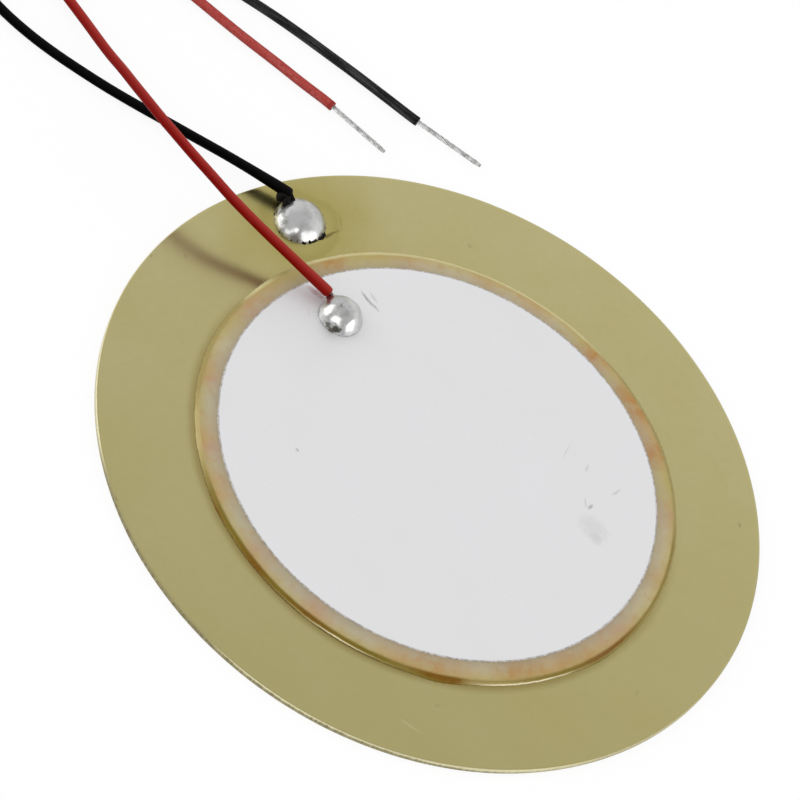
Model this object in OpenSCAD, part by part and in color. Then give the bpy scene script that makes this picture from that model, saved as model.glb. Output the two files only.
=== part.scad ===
// Piezo disc: a brass plate with a ceramic disc bonded on it, a silver electrode on each
// face of the ceramic, and two soldered leads that are wound up in a small coil.
// The origin is the centre of the plate's back face, and +Z points out of the ceramic side.

/* [Brass plate] */
// Diameter of the brass plate
plate_d = 35; // [34:0.5:50]
// Thickness of the brass plate
plate_t = 0.3; // [0.15:0.05:0.6]
// Rounding of the plate's two rims
plate_edge_r = 0.05; // [0.02:0.01:0.07]

/* [Ceramic] */
// Diameter of the ceramic disc
ceramic_d = 25; // [24:0.1:26]
// Thickness of the ceramic disc
ceramic_t = 0.2; // [0.1:0.05:0.5]
// Rounding of the ceramic's rims
ceramic_edge_r = 0.03; // [0.01:0.01:0.05]
// How far the ceramic was bonded off the plate's centre, along X
ceramic_off_x = -0.1; // [-0.3:0.05:0.3]
// How far the ceramic was bonded off the plate's centre, along Y
ceramic_off_y = -0.3; // [-0.4:0.05:0.3]

/* [Adhesive] */
// Thickness of the adhesive under the ceramic
glue_t = 0.02; // [0.01:0.01:0.08]
// Width of the bead that squeezed out round the ceramic
bead_w = 0.14; // [0.05:0.01:0.3]
// How far the bead climbs the ceramic's side
bead_climb = 0.08; // [0.02:0.01:0.1]

/* [Electrodes] */
// Thickness of a printed silver electrode
electrode_t = 0.02; // [0.01:0.01:0.05]
// Bare ceramic left round the upper electrode
upper_margin = 0.95; // [0.3:0.05:1.4]
// How far the upper electrode was printed off the ceramic's centre, along X
upper_off_x = 0.05; // [-0.2:0.05:0.2]
// How far the upper electrode was printed off the ceramic's centre, along Y
upper_off_y = 0.05; // [-0.2:0.05:0.2]
// Bare ceramic left round the lower electrode
lower_margin = 0.3; // [0.1:0.1:1.5]

/* [Joint on the plate] */
// Diameter of the solder joint on the brass
plate_joint_d = 2.75; // [2:0.05:3.2]
// Height of the solder joint on the brass
plate_joint_h = 1.1; // [0.8:0.05:1.4]
// How far the joint's middle lies outside the middle of the bare brass margin
plate_joint_off = -0.1; // [-0.3:0.05:0.3]
// Direction of the joint from the plate's centre, in degrees
plate_joint_angle = 86.5; // [85:0.5:88]

/* [Joint on the electrode] */
// Diameter of the solder joint on the upper electrode
electrode_joint_d = 2.35; // [2:0.05:2.8]
// Height of the solder joint on the upper electrode
electrode_joint_h = 1.0; // [0.7:0.05:1.3]
// Distance of the joint's middle from the upper electrode's edge
electrode_joint_inset = 2.55; // [2.3:0.05:2.8]
// Direction of the joint from the upper electrode's centre, in degrees
electrode_joint_angle = 93; // [91:0.5:95]

/* [Leads] */
// Diameter of the insulation
lead_d = 0.52; // [0.4:0.02:0.7]
// Diameter of the tinned conductor
core_d = 0.22; // [0.1:0.02:0.3]
// How far the conductor runs on into its solder joint
core_in = 1.1; // [0.8:0.1:1.4]
// Length of bare conductor on the end of the red lead
red_bare = 3.7; // [1:0.1:8]
// Length of bare conductor on the end of the black lead
black_bare = 4.1; // [1:0.1:8]

/* [Coil of leads] */
// Radius of the inner turns, to the middle of the lead
inner_turn = 2.85; // [2.7:0.05:3]
// Layers of turns lying on each other
coil_layers = 3; // [3:1:5]
// Thickness of the tie round the turns
tie_t = 0.1; // [0.06:0.01:0.15]
// Width of the tie
tie_w = 0.9; // [0.5:0.1:1.4]
// Diameter of the tie's twisted ends
twist_d = 0.4; // [0.2:0.05:0.5]
// Length of the tie's twisted ends
twist_l = 2.2; // [1:0.1:4]

/* [Hidden] */

$fn = 96;

// Heights of the stack, from the plate's back face upwards
lower_z = plate_t + glue_t;
ceramic_z = lower_z + electrode_t;
upper_z = ceramic_z + ceramic_t;
top_z = upper_z + electrode_t;

// Centres of the round pieces, and the electrodes' diameters
ceramic_at = [ceramic_off_x, ceramic_off_y];
upper_at = ceramic_at + [upper_off_x, upper_off_y];
upper_d = ceramic_d - 2 * upper_margin;
lower_d = ceramic_d - 2 * lower_margin;

// Centre height of a lead that lies on the floor
rest = lead_d / 2;

// The coil: its centre, the middle of its outer turns, and the size of its bundle of turns
coil_at = [-2.9, 38];
outer_turn = inner_turn + lead_d;
coil_h = coil_layers * lead_d;
coil_w = 2 * lead_d;

// Routes of the leads, from the joint to the coil, and from the coil to the cut end
RED_OUT = [
    [-0.55, 10.05, 1.00], [-1.20, 11.20, 1.35], [-1.85, 12.40, 1.70], [-2.50, 13.60, 2.05],
    [-3.15, 14.75, 2.45], [-3.75, 16.00, 2.80], [-4.15, 17.30, 3.05], [-4.50, 18.65, 3.15],
    [-4.65, 20.05, 3.10], [-4.75, 21.45, 2.95], [-4.65, 22.80, 2.65], [-4.50, 24.15, 2.25],
    [-4.25, 25.45, 1.80], [-4.05, 26.65, 1.30], [-3.85, 28.00, 0.90], [-3.65, 29.40, 0.55],
    [-3.60, 30.80, 0.35], [-3.65, 32.15, 0.30], [-3.95, 33.50, rest], [-4.55, 34.80, rest],
    [-5.20, 36.05, rest]
];
BLACK_OUT = [
    [0.95, 16.20, 0.90], [0.15, 17.35, 1.00], [-0.55, 18.55, 0.95], [-1.15, 19.80, 0.75],
    [-1.75, 21.05, 0.50], [-2.40, 22.25, 0.35], [-3.15, 23.45, rest], [-3.95, 24.60, rest],
    [-4.70, 25.75, rest], [-5.40, 26.95, rest], [-6.10, 28.20, rest], [-6.70, 29.45, rest],
    [-7.20, 30.75, rest], [-7.60, 32.10, rest], [-7.80, 33.50, rest], [-7.70, 34.90, rest],
    [-7.40, 36.25, rest], [-6.95, 37.60, rest], [-6.45, 38.60, rest]
];
RED_BACK = [
    [0.30, 37.70, 1.30], [0.80, 36.35, 1.15], [1.35, 35.00, 0.80], [1.90, 33.65, 0.45],
    [2.40, 32.30, 0.30], [2.95, 30.90, rest], [3.50, 29.55, rest], [4.00, 28.20, rest],
    [4.50, 26.90, rest], [5.05, 25.60, rest], [5.60, 24.35, rest], [6.10, 23.05, rest],
    [6.60, 21.95, rest], [6.85, 21.40, rest], [7.00, 20.95, rest]
];
BLACK_BACK = [
    [0.75, 38.25, 1.25], [1.45, 37.00, 1.05], [2.15, 35.80, 0.75], [2.90, 34.60, 0.50],
    [3.60, 33.40, 0.35], [4.30, 32.25, rest], [5.00, 31.10, rest], [5.75, 29.90, rest],
    [6.45, 28.70, rest], [7.15, 27.50, rest], [7.80, 26.25, rest], [8.40, 25.00, rest],
    [9.00, 23.70, rest], [9.60, 22.45, rest], [10.15, 21.15, rest], [10.70, 19.90, rest],
    [11.05, 19.05, rest], [11.25, 18.65, rest]
];

// Direction from one point to another, one unit long
function way(a, b) = (b - a) / norm(b - a);

// Direction of a route at its point i
function heading(route, i) = way(route[max(i - 1, 0)], route[min(i + 1, len(route) - 1)]);

// Corner k of the eight-sided ring at point i of a route, with corner 0 at the top
function ring_corner(route, i, k) =
    let (t = heading(route, i), side = way([0, 0, 0], cross(t, [0, 0, 1])), up = cross(side, t))
    route[i] + rest * (cos(k * 45) * up + sin(k * 45) * side);

// Point on a circle in the plate's plane
function polar(radius, angle) = [radius * cos(angle), radius * sin(angle)];

// Radius of the middle of the bare brass margin, on the side of the joints
margin_mid = (plate_d / 2 + ceramic_at[1] + ceramic_d / 2) / 2;

plate_joint_at = polar(margin_mid + plate_joint_off, plate_joint_angle);
electrode_joint_at = upper_at
    + polar(upper_d / 2 - electrode_joint_inset, electrode_joint_angle);

// Half outline of a flat disc with rounded rims
module slab_outline(radius, thickness, rim) {
    square([radius - rim, thickness]);
    translate([0, rim]) square([radius, thickness - 2 * rim]);
    for (z = [rim, thickness - rim]) translate([radius - rim, z]) circle(rim, $fn = 24);
}

module slab(diameter, thickness, rim) {
    rotate_extrude() slab_outline(diameter / 2, thickness, rim);
}

// Solder that has set as a spherical cap on a flat surface
module solder_cap(diameter, height) {
    ball_r = (diameter * diameter / 4 + height * height) / (2 * height);
    rotate_extrude() intersection() {
        translate([0, height - ball_r]) circle(ball_r);
        square([diameter, height]);
    }
}

// Bare conductor that starts at a point and runs in a direction
module bare_core(from, along, length) {
    translate(from)
        rotate([0, acos(along[2]), atan2(along[1], along[0])])
            cylinder(d = core_d, h = length, $fn = 32);
}

// Insulated lead swept along a route
module lead_tube(route) {
    rings = len(route);
    points = [for (i = [0:rings - 1], k = [0:7]) ring_corner(route, i, k)];
    sides = [for (i = [0:rings - 2], k = [0:7])
        [i * 8 + k, i * 8 + (k + 1) % 8, (i + 1) * 8 + (k + 1) % 8, (i + 1) * 8 + k]];
    start = [for (k = [7:-1:0]) k];
    end = [for (k = [0:7]) (rings - 1) * 8 + k];
    polyhedron(points, concat(sides, [start, end]), convexity = 8);
}

// Section through the bundle of turns, its corners as round as a lead
module bundle_section(width, height, corner) {
    translate([corner, 0]) square([width - 2 * corner, height]);
    translate([0, corner]) square([width, height - 2 * corner]);
    for (x = [corner, width - corner], z = [corner, height - corner])
        translate([x, z]) circle(corner, $fn = 32);
}

module brass_plate() {
    color("#b1a977") slab(plate_d, plate_t, plate_edge_r);
}

// A film that beds the lower electrode and the ceramic, and the bead squeezed out round them
module adhesive() {
    ceramic_r = ceramic_d / 2;
    seat = glue_t + electrode_t;
    bead_h = seat + bead_climb;
    color("#a08a4a") translate([ceramic_at[0], ceramic_at[1], plate_t]) difference() {
        rotate_extrude()
            polygon([[0, 0], [ceramic_r + bead_w, 0], [ceramic_r, bead_h], [0, bead_h]]);
        translate([0, 0, glue_t]) cylinder(d = lower_d, h = bead_h);
        translate([0, 0, seat]) cylinder(r = ceramic_r, h = bead_h);
    }
}

module lower_electrode() {
    color("#c8c8ca") translate([ceramic_at[0], ceramic_at[1], lower_z])
        cylinder(d = lower_d, h = electrode_t);
}

module ceramic_disc() {
    color("#c9b48c") translate([ceramic_at[0], ceramic_at[1], ceramic_z])
        slab(ceramic_d, ceramic_t, ceramic_edge_r);
}

module upper_electrode() {
    color("#dcdcde") translate([upper_at[0], upper_at[1], upper_z])
        cylinder(d = upper_d, h = electrode_t);
}

module plate_solder() {
    color("#c4c6c9") difference() {
        translate([plate_joint_at[0], plate_joint_at[1], plate_t])
            solder_cap(plate_joint_d, plate_joint_h);
        black_core();
    }
}

module electrode_solder() {
    color("#c4c6c9") difference() {
        translate([electrode_joint_at[0], electrode_joint_at[1], top_z])
            solder_cap(electrode_joint_d, electrode_joint_h);
        red_core();
    }
}

module black_core() {
    color("#b8b9bb") bare_core(BLACK_OUT[0], way(BLACK_OUT[1], BLACK_OUT[0]), core_in);
}

module red_core() {
    color("#b8b9bb") bare_core(RED_OUT[0], way(RED_OUT[1], RED_OUT[0]), core_in);
}

module black_lead() {
    color("#161616") lead_tube(BLACK_OUT);
}

module red_lead() {
    color("#b01c20") lead_tube(RED_OUT);
}

// Outer shape of the turns of both leads, wound together
module lead_coil() {
    color("#5a1a1c") translate([coil_at[0], coil_at[1], 0]) rotate_extrude()
        translate([inner_turn - rest, 0]) bundle_section(coil_w, coil_h, rest);
}

// A soft band round the turns on the coil's far side, with its two ends twisted together
module coil_tie() {
    mid_turn = (inner_turn + outer_turn) / 2;
    band_w = coil_w + 2 * tie_t;
    band_h = coil_h + 2 * tie_t;
    twist_z = rest + tie_t + twist_d / 2;
    color("#e8e6df") translate([coil_at[0], coil_at[1] + mid_turn, 0]) {
        translate([tie_w / 2, 0, 0]) rotate([90, 0, -90]) linear_extrude(tie_w) difference() {
            translate([-band_w / 2, 0]) bundle_section(band_w, band_h, rest + tie_t);
            translate([-coil_w / 2, tie_t]) bundle_section(coil_w, coil_h, rest);
        }
        translate([0, (band_w - tie_t) / 2, twist_z]) rotate([-90, 0, 0])
            cylinder(d = twist_d, h = twist_l, $fn = 32);
    }
}

module black_lead_end() {
    color("#161616") lead_tube(BLACK_BACK);
}

module red_lead_end() {
    color("#b01c20") lead_tube(RED_BACK);
}

// Tinned conductor bared at the free end of a lead
module bare_tip(route, length) {
    last = len(route) - 1;
    bare_core(route[last], way(route[last - 1], route[last]), length);
}

module black_tip() {
    color("#b8b9bb") bare_tip(BLACK_BACK, black_bare);
}

module red_tip() {
    color("#b8b9bb") bare_tip(RED_BACK, red_bare);
}

brass_plate();
adhesive();
lower_electrode();
ceramic_disc();
upper_electrode();
plate_solder();
electrode_solder();
black_core();
red_core();
black_lead();
red_lead();
lead_coil();
coil_tie();
black_lead_end();
red_lead_end();
black_tip();
red_tip();
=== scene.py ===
"""Looks of the piezo disc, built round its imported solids: brass, bonded ceramic, solder and two leads."""

import math

import bmesh
import bpy
from mathutils import Matrix, Vector, noise


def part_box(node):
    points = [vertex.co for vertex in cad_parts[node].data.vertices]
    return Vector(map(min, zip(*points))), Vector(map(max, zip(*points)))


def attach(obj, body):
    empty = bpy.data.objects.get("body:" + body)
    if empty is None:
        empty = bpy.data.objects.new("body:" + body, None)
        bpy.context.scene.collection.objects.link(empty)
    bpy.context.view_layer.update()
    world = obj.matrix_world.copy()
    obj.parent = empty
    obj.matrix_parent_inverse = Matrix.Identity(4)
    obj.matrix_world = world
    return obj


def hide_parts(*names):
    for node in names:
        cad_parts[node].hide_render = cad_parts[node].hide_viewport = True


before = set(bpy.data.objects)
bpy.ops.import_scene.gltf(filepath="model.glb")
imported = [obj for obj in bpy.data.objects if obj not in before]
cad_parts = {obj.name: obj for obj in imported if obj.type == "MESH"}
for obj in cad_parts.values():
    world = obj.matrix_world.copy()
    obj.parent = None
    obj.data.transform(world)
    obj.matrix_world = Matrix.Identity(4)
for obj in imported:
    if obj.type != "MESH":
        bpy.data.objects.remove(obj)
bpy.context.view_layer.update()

MM = 0.001
UP = Vector((0, 0, 1))


# ---- Sizes in millimetres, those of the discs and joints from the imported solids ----


def node_mm(name):
    """Lowest and highest corner of a solid, in millimetres."""
    low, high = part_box(name)
    return low / MM, high / MM


class Round:
    """A round piece that lies flat: its middle, radius, underside and top, in millimetres."""

    def __init__(self, name):
        low, high = node_mm(name)
        self.middle = ((low.x + high.x) / 2, (low.y + high.y) / 2)
        self.radius = (high.x - low.x) / 2
        self.low = low.z
        self.high = high.z


PLATE = Round("brass_plate")
CERAMIC = Round("ceramic_disc")
ELECTRODE = Round("upper_electrode")
LOWER = Round("lower_electrode")
PLATE_JOINT = Round("plate_solder")
ELECTRODE_JOINT = Round("electrode_solder")

# The ceramic with the adhesive smeared over its edge
SMEAR = 0.05
CERAMIC_R = CERAMIC.radius + SMEAR

# Rounding of each disc's rim, above and below
PLATE_EDGES = (0.06, 0.03)
CERAMIC_EDGES = (0.03, 0.03)
SILVER_EDGES = (0.008, 0.002)

# A lead across its insulation, and the height of its middle where it lies on the floor
LEAD_D = 0.52
REST = LEAD_D / 2

# The bare conductors: their strands, how far they run into the joints, and the stripped ends
STRAND_D = 0.08
TIP_STRAND_D = 0.092
IN_JOINT = 1.1
RED_BARE = 3.7
BLACK_BARE = 4.1

# The near side of the disc, at -150 degrees: the way to it, and its turn from +X in radians
NEAR_WAY = Vector((-0.87, -0.5))
NEAR_TURN = -2.62


# ---- Camera ----


def new_object(name, data):
    """A new object of the scene."""
    made = bpy.data.objects.new(name, data)
    bpy.context.scene.collection.objects.link(made)
    return made


def make_camera(place, heading, elevation, roll, lens):
    """A camera at a place in millimetres. It looks along a heading, down by an elevation."""
    data = bpy.data.cameras.new("camera")
    data.sensor_width = 36
    data.lens = lens
    data.clip_start = 0.01
    data.clip_end = 20
    camera = new_object("camera", data)
    turn = Matrix.Rotation(math.radians(heading - 90), 4, "Z")
    tilt = Matrix.Rotation(math.radians(90 - elevation), 4, "X")
    bank = Matrix.Rotation(math.radians(roll), 4, "Z")
    camera.matrix_world = Matrix.Translation(Vector(place) * MM) @ turn @ tilt @ bank
    bpy.context.scene.camera = camera


make_camera((-90.14, -51.11, 119.67), heading=31.245, elevation=48.564, roll=31.99, lens=144.1)


# ---- Leads: the routes of the part's source, and the turns of the coil between them ----

RED_OUT = [
    (-0.55, 10.05, 1.00), (-1.20, 11.20, 1.35), (-1.85, 12.40, 1.70), (-2.50, 13.60, 2.05),
    (-3.15, 14.75, 2.45), (-3.75, 16.00, 2.80), (-4.15, 17.30, 3.05), (-4.50, 18.65, 3.15),
    (-4.65, 20.05, 3.10), (-4.75, 21.45, 2.95), (-4.65, 22.80, 2.65), (-4.50, 24.15, 2.25),
    (-4.25, 25.45, 1.80), (-4.05, 26.65, 1.30), (-3.85, 28.00, 0.90), (-3.65, 29.40, 0.55),
    (-3.60, 30.80, 0.35), (-3.65, 32.15, 0.30), (-3.95, 33.50, REST), (-4.55, 34.80, REST),
    (-5.20, 36.05, REST), (-5.65, 37.30, REST),
]
BLACK_OUT = [
    (0.95, 16.20, 0.90), (0.15, 17.35, 1.00), (-0.55, 18.55, 0.95), (-1.15, 19.80, 0.75),
    (-1.75, 21.05, 0.50), (-2.40, 22.25, 0.35), (-3.15, 23.45, REST), (-3.95, 24.60, REST),
    (-4.70, 25.75, REST), (-5.40, 26.95, REST), (-6.10, 28.20, REST), (-6.70, 29.45, REST),
    (-7.20, 30.75, REST), (-7.60, 32.10, REST), (-7.80, 33.50, REST), (-7.70, 34.90, REST),
    (-7.40, 36.25, REST), (-6.95, 37.60, REST), (-6.45, 38.60, REST),
]
RED_BACK = [
    (0.30, 37.70, 1.30), (0.80, 36.35, 1.15), (1.35, 35.00, 0.80), (1.90, 33.65, 0.45),
    (2.40, 32.30, 0.30), (2.95, 30.90, REST), (3.50, 29.55, REST), (4.00, 28.20, REST),
    (4.50, 26.90, REST), (5.05, 25.60, REST), (5.60, 24.35, REST), (6.10, 23.05, REST),
    (6.60, 21.95, REST), (6.85, 21.40, REST), (7.00, 20.95, REST),
]
BLACK_BACK = [
    (0.75, 38.25, 1.25), (1.45, 37.00, 1.05), (2.15, 35.80, 0.75), (2.90, 34.60, 0.50),
    (3.60, 33.40, 0.35), (4.30, 32.25, REST), (5.00, 31.10, REST), (5.75, 29.90, REST),
    (6.45, 28.70, REST), (7.15, 27.50, REST), (7.80, 26.25, REST), (8.40, 25.00, REST),
    (9.00, 23.70, REST), (9.60, 22.45, REST), (10.15, 21.15, REST), (10.70, 19.90, REST),
    (11.05, 19.05, REST), (11.25, 18.65, REST),
]

COIL_AT = Vector((-2.9, 38, 0))
INNER_TURN = 2.85
OUTER_TURN = INNER_TURN + LEAD_D
TIE_T = 0.1
# The turns lie fully on the tie up to the first angle from it, and on the floor past the second
ON_TIE = (12, 45)
# Where the turns climb to the next layer, in degrees from the -X side, clockwise
CLIMBS = [(190, 270), (550, 630)]


def smooth(value, low, high):
    """0 below low, 1 above high, and a smooth step between them."""
    share = min(max((value - low) / (high - low), 0), 1)
    return share * share * (3 - 2 * share)


def coil_turns(radius, start, stop, step=15):
    """Points of the turns from one angle to another, which rise over the tie at the +Y side."""
    count = round((stop - start) / step)
    points = []
    for i in range(count + 1):
        turned = start + (stop - start) * i / count
        angle = math.radians(180 - turned)
        off_tie = abs((turned - 90 + 180) % 360 - 180)
        lift = TIE_T * (1 - smooth(off_tie, *ON_TIE))
        layers = sum(smooth(turned, *climb) for climb in CLIMBS)
        spot = Vector((math.cos(angle), math.sin(angle), 0)) * radius
        points.append(COIL_AT + spot + UP * (REST + LEAD_D * layers + lift))
    return points


# Both leads make about two and a half turns, so that they go on back to the disc
RED_ROUTE = RED_OUT + coil_turns(INNER_TURN, 0, 878) + RED_BACK
BLACK_ROUTE = BLACK_OUT + coil_turns(OUTER_TURN, 25, 873) + BLACK_BACK


def curve_piece(name, runs, diameter, resolution=6):
    """A round rod along each run. A run is a list of points, each with its share of the diameter."""
    data = bpy.data.curves.new(name, "CURVE")
    data.dimensions = "3D"
    # The knots carry the radius, as a curve's box counts a knot's radius in metres
    data.bevel_depth = 1
    data.bevel_resolution = 6
    data.resolution_u = resolution
    data.use_fill_caps = True
    for run in runs:
        spline = data.splines.new("NURBS")
        spline.points.add(len(run) - 1)
        for knot, (point, share) in zip(spline.points, run):
            knot.co = (*(Vector(point) * MM), 1)
            knot.radius = share * diameter / 2 * MM
        spline.order_u = 4
        spline.use_endpoint_u = True
    piece = new_object(name, data)
    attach(piece, "root")
    return piece


def direction(route, i, j):
    """The way from one point of a route to another."""
    return Vector(route[j]) - Vector(route[i])


# A lead's end at its joint: how far from it, and the share of the diameter there
ROUNDED_END = [(0, 0.72), (0.05, 0.92), (0.13, 1)]


def lead(name, route, flare):
    """A lead's insulation: rounded at its end, and thicker where the heat of soldering drew it back."""
    first = Vector(route[0])
    way = direction(route, 0, 1).normalized()
    rounded = [(first + way * run_on, share) for run_on, share in ROUNDED_END]
    run = [(point, share * (1 + flare)) for point, share in rounded]
    run += [(point, 1 + flare * (1 - smooth(i, 0, 2))) for i, point in enumerate(route) if i > 0]
    return curve_piece(name, [run], LEAD_D, resolution=8)


red_cord = lead("red_cord", RED_ROUTE, flare=0.15)
black_cord = lead("black_cord", BLACK_ROUTE, flare=0.2)


# ---- Shader maths ----


def rgb(code):
    """A colour for a shader, from its six hex digits."""
    parts = [int(code[i:i + 2], 16) / 255 for i in (0, 2, 4)]
    return tuple(p / 12.92 if p < 0.04045 else ((p + 0.055) / 1.055) ** 2.4 for p in parts) + (1,)


def grey(level):
    """A grey of a plain level."""
    return (level, level, level, 1)


class Wire:
    """An output of a material's nodes. Sums and products of wires add Math nodes."""

    def __init__(self, tree, socket):
        self.tree = tree
        self.socket = socket

    def node(self, kind, settings, inputs, out=0):
        """Adds a node: its settings first, then its inputs, which are values or wires."""
        made = self.tree.nodes.new("ShaderNode" + kind)
        for name, value in settings.items():
            if name == "stops":
                set_stops(made.color_ramp, value)
            else:
                setattr(made, name, value)
        for name, value in inputs.items():
            if isinstance(value, Wire):
                self.tree.links.new(value.socket, made.inputs[name])
            else:
                made.inputs[name].default_value = value
        return Wire(self.tree, made.outputs[out])

    def math(self, operation, *inputs):
        return self.node("Math", {"operation": operation}, dict(enumerate(inputs)))

    def __add__(self, other):
        return self.math("ADD", self, other)

    def __sub__(self, other):
        return self.math("SUBTRACT", self, other)

    def __rsub__(self, other):
        return self.math("SUBTRACT", other, self)

    def __mul__(self, other):
        return self.math("MULTIPLY", self, other)

    def __truediv__(self, other):
        return self.math("DIVIDE", self, other)

    def __abs__(self):
        return self.math("ABSOLUTE", self)

    __radd__ = __add__
    __rmul__ = __mul__

    def least(self, other):
        return self.math("MINIMUM", self, other)

    def most(self, other):
        return self.math("MAXIMUM", self, other)

    def rise(self, low, high):
        """0 where the wire is below low, 1 above high, and a smooth step between."""
        span = {"From Min": low, "From Max": high, "Value": self}
        return self.node("MapRange", {"interpolation_type": "SMOOTHSTEP"}, span)

    def fall(self, low, high):
        return 1 - self.rise(low, high)

    def axes(self):
        return [self.node("SeparateXYZ", {}, {0: self}, out) for out in range(3)]

    def move(self, offset):
        return self.node("VectorMath", {"operation": "ADD"}, {0: self, 1: offset})

    def stretch(self, factors):
        return self.node("VectorMath", {"operation": "MULTIPLY"}, {0: self, 1: factors})

    def noise(self, scale, detail=2.0, rough=0.5, offset=(0, 0, 0)):
        """Soft noise from 0 to 1, with its scale in patches per millimetre."""
        inputs = {"Vector": self.move(offset), "Scale": scale, "Detail": detail, "Roughness": rough}
        return self.node("TexNoise", {}, inputs)

    def tint(self, stops):
        """The colour of a ramp at this wire's value."""
        return self.node("ValToRGB", {"stops": stops}, {0: self})


def set_stops(ramp, stops):
    """Gives a colour ramp its stops, each a place from 0 to 1 and a colour."""
    while len(ramp.elements) > 1:
        ramp.elements.remove(ramp.elements[-1])
    for i, (place, colour) in enumerate(stops):
        stop = ramp.elements[0] if i == 0 else ramp.elements.new(place)
        stop.position = place
        stop.color = colour


def mix(share, low, high):
    """One colour where the share is 0, and the other where it is 1."""
    return share.node("Mix", {"data_type": "RGBA"}, {0: share, 6: low, 7: high}, out=2)


def shade(colour, tone):
    """A colour multiplied by another."""
    settings = {"data_type": "RGBA", "blend_type": "MULTIPLY"}
    return colour.node("Mix", settings, {0: 1.0, 6: colour, 7: tone}, out=2)


def relief(height, depth, under=None):
    """A surface normal from a height of 0 to 1, with its depth in millimetres."""
    inputs = {"Height": height, "Distance": depth * MM, "Strength": 1.0}
    if under:
        inputs["Normal"] = under
    return height.node("Bump", {}, inputs)


def new_material(name):
    """A new material: its nodes' Object coordinates in millimetres, and its shader."""
    material = bpy.data.materials.new(name)
    material.use_nodes = True
    tree = material.node_tree
    coords = tree.nodes.new("ShaderNodeTexCoord")
    place = Wire(tree, coords.outputs["Object"]).stretch((1 / MM, 1 / MM, 1 / MM))
    return material, place, tree.nodes["Principled BSDF"]


def dress(shader, **sockets):
    """Sets a shader's sockets, named with _ for a space, to values or wires."""
    for name, value in sockets.items():
        socket = shader.inputs[name.replace("_", " ")]
        if isinstance(value, Wire):
            value.tree.links.new(value.socket, socket)
        else:
            socket.default_value = value


def spot_distance(place, middle):
    """Distance in millimetres from an upright line at a spot on the disc."""
    flat = place.move((-middle[0], -middle[1], 0)).stretch((1, 1, 0))
    return flat.node("VectorMath", {"operation": "LENGTH"}, {0: flat}, out=1)


def spot_angle(place, middle):
    """Angle about a spot as a share of half a turn from +X, and 1 on the +Y side, else 0."""
    x, y, _ = place.move((-middle[0], -middle[1], 0)).axes()
    turned = y.math("ARCTAN2", y, x) / math.pi
    return abs(turned), turned.rise(-0.001, 0.001)


def facing_away(place):
    """1 on the far side of the disc, 0 on its near side, and a smooth step between."""
    x, y, _ = place.axes()
    way = (x * -NEAR_WAY.x + y * -NEAR_WAY.y) / CERAMIC.radius
    return way.rise(-0.4, 0.5)


def ring_tint(around, far, tints):
    """Colour round a ring, from tints by their angle in degrees and from what spot_angle gives."""
    halves = []
    for side in (-1, 1):
        stops = [(side * angle / 180, colour) for angle, colour in tints.items() if side * angle >= 0]
        halves.append(around.tint(sorted(stops)))
    return mix(far, *halves)


# ---- Finishes ----

# The ceramic's bare rim
SAGE = rgb("aea489")
CREAM = rgb("b4a889")
STRAW = rgb("ada072")
PEACH = rgb("b09875")
ROSE = rgb("b09178")
AMBER = rgb("aa885a")
RUST = rgb("ab7c4c")

# Tints of that rim, by their angle from +X in degrees
RIM_TINTS = {
    -180: SAGE, -173: ROSE, -167: SAGE, -161: SAGE, -155: ROSE, -149: SAGE, -143: SAGE, -137: PEACH,
    -126: AMBER, -119: PEACH, -114: CREAM, -107: AMBER, -101: AMBER, -96: PEACH, -90: AMBER, -83: PEACH,
    -74: ROSE, -67: CREAM, -60: CREAM, -55: PEACH, -49: CREAM, -42: CREAM, -36: ROSE, -30: STRAW,
    -24: STRAW, -18: RUST, -12: PEACH, -6: RUST, 0: AMBER, 5: STRAW, 8: PEACH, 12: RUST, 17: STRAW,
    24: CREAM, 31: PEACH, 37: CREAM, 43: PEACH, 50: CREAM, 57: CREAM, 65: PEACH, 72: STRAW, 79: STRAW,
    85: AMBER, 98: STRAW, 107: PEACH, 114: ROSE, 120: STRAW, 127: CREAM, 131: SAGE, 135: PEACH,
    138: ROSE, 142: SAGE, 148: SAGE, 154: PEACH, 158: ROSE, 162: SAGE, 166: PEACH, 171: PEACH,
    174: SAGE, 180: SAGE,
}
# From the electrode out to the edge the rim goes from greyer to yellower
ACROSS_RIM = [
    (0, (0.88, 0.91, 1, 1)), (0.2, (0.97, 0.99, 1.04, 1)), (0.5, (1.04, 1.04, 1, 1)),
    (0.8, (1.06, 1.02, 0.76, 1)), (1, (1, 0.97, 0.6, 1)),
]

# Adhesive, from thick to thin, then three painted highlights on it, from dim to bright
DARK = rgb("7c6a26")
BROWN = rgb("77520e")
OLIVE = rgb("88763a")
KHAKI = rgb("a0905a")
DIM_HIGHLIGHT = rgb("bcac78")
PALE_HIGHLIGHT = rgb("d2c896")
BRIGHT_HIGHLIGHT = rgb("ece0ba")

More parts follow.
